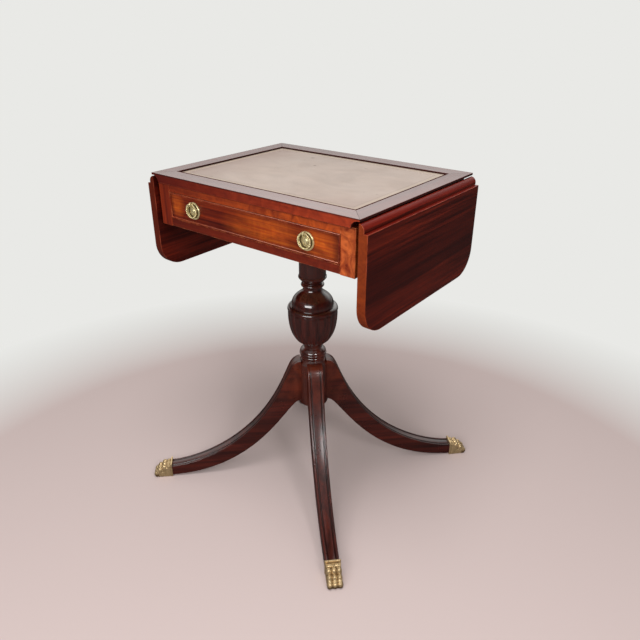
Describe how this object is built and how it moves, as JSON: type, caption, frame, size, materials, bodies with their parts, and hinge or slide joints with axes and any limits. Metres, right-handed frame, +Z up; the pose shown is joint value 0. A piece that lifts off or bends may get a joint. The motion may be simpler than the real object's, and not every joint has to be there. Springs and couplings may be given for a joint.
{
  "type": "drop-leaf pedestal side table",
  "caption": "Drop-leaf pedestal side table with a leather-inset top, a fitted silverware drawer with ring pulls, a turned reeded column and sabre legs in brass paws.",
  "frame": {"origin": "on the floor under the column, at the middle of the object's footprint", "axes": "+Z up, +X to the right along the drawer front, the drawer front faces -Y"},
  "size_m": [0.5514, 0.5514, 0.7],
  "materials": {
    "mahogany": "polished mahogany with ribbon stripe",
    "flame_mahogany": "polished flame-figured mahogany veneer",
    "dark_mahogany": "dark polished turned mahogany",
    "secondary_wood": "plain unpolished hardwood",
    "leather": "pale tan leather, lightly mottled",
    "felt": "brown anti-tarnish cloth",
    "brass": "polished brass",
    "antique_brass": "cast antique brass",
    "steel": "bright drawn steel"
  },
  "bodies": {
    "table_frame": {"top_rail_front": "mahogany", "top_rail_back": "mahogany", "top_rail_left": "mahogany", "top_rail_right": "mahogany", "top_panel": "secondary_wood", "leather_inset": "leather", "left_front_hinge_top_plate": "brass", "left_front_hinge_pin": "steel", "left_back_hinge_top_plate": "brass", "left_back_hinge_pin": "steel", "right_front_hinge_top_plate": "brass", "right_front_hinge_pin": "steel", "right_back_hinge_top_plate": "brass", "right_back_hinge_pin": "steel", "left_front_stile": "flame_mahogany", "right_front_stile": "flame_mahogany", "top_front_rail": "flame_mahogany", "bottom_front_rail": "flame_mahogany", "left_side": "mahogany", "right_side": "mahogany", "back_panel": "mahogany", "case_bottom": "secondary_wood", "left_runner": "secondary_wood", "right_runner": "secondary_wood", "column_cleat": "secondary_wood", "left_fly_bracket": "mahogany", "right_fly_bracket": "mahogany", "left_bracket_pin": "steel", "right_bracket_pin": "steel", "column": "dark_mahogany", "front_left_leg": "dark_mahogany", "front_right_leg": "dark_mahogany", "back_left_leg": "dark_mahogany", "back_right_leg": "dark_mahogany", "front_left_paw": "antique_brass", "front_right_paw": "antique_brass", "back_left_paw": "antique_brass", "back_right_paw": "antique_brass"},
    "drawer_body": {"drawer_front": "flame_mahogany", "cockbead": "mahogany", "drawer_left_side": "secondary_wood", "drawer_right_side": "secondary_wood", "drawer_back": "secondary_wood", "drawer_bottom": "secondary_wood", "felt_lining": "felt", "left_silver_divider": "secondary_wood", "right_silver_divider": "secondary_wood", "left_pull_plate": "brass", "right_pull_plate": "brass", "left_pull_post": "brass", "right_pull_post": "brass"},
    "left_leaf_body": {"left_leaf": "mahogany", "left_front_hinge_leaf_plate": "brass", "left_back_hinge_leaf_plate": "brass"},
    "right_leaf_body": {"right_leaf": "mahogany", "right_front_hinge_leaf_plate": "brass", "right_back_hinge_leaf_plate": "brass"},
    "left_ring_body": {"left_pull_ring": "brass"},
    "right_ring_body": {"right_pull_ring": "brass"}
  },
  "joints": [
    {"name": "drawer_slide", "type": "slide", "parent": "table_frame", "child": "drawer_body", "axis": [0, -1, 0], "range_m": [0, 0.25]},
    {"name": "left_leaf_hinge", "type": "hinge", "parent": "table_frame", "child": "left_leaf_body", "pos_m": [-0.2405, 0, 0.682], "axis": [0, 1, 0], "range_deg": [0, 90]},
    {"name": "right_leaf_hinge", "type": "hinge", "parent": "table_frame", "child": "right_leaf_body", "pos_m": [0.2405, 0, 0.682], "axis": [0, -1, 0], "range_deg": [0, 90]},
    {"name": "left_ring_swing", "type": "hinge", "parent": "drawer_body", "child": "left_ring_body", "pos_m": [-0.136, -0.1905, 0.6556], "axis": [-1, 0, 0], "range_deg": [0, 95]},
    {"name": "right_ring_swing", "type": "hinge", "parent": "drawer_body", "child": "right_ring_body", "pos_m": [0.136, -0.1905, 0.6556], "axis": [-1, 0, 0], "range_deg": [0, 95]}
  ]
}
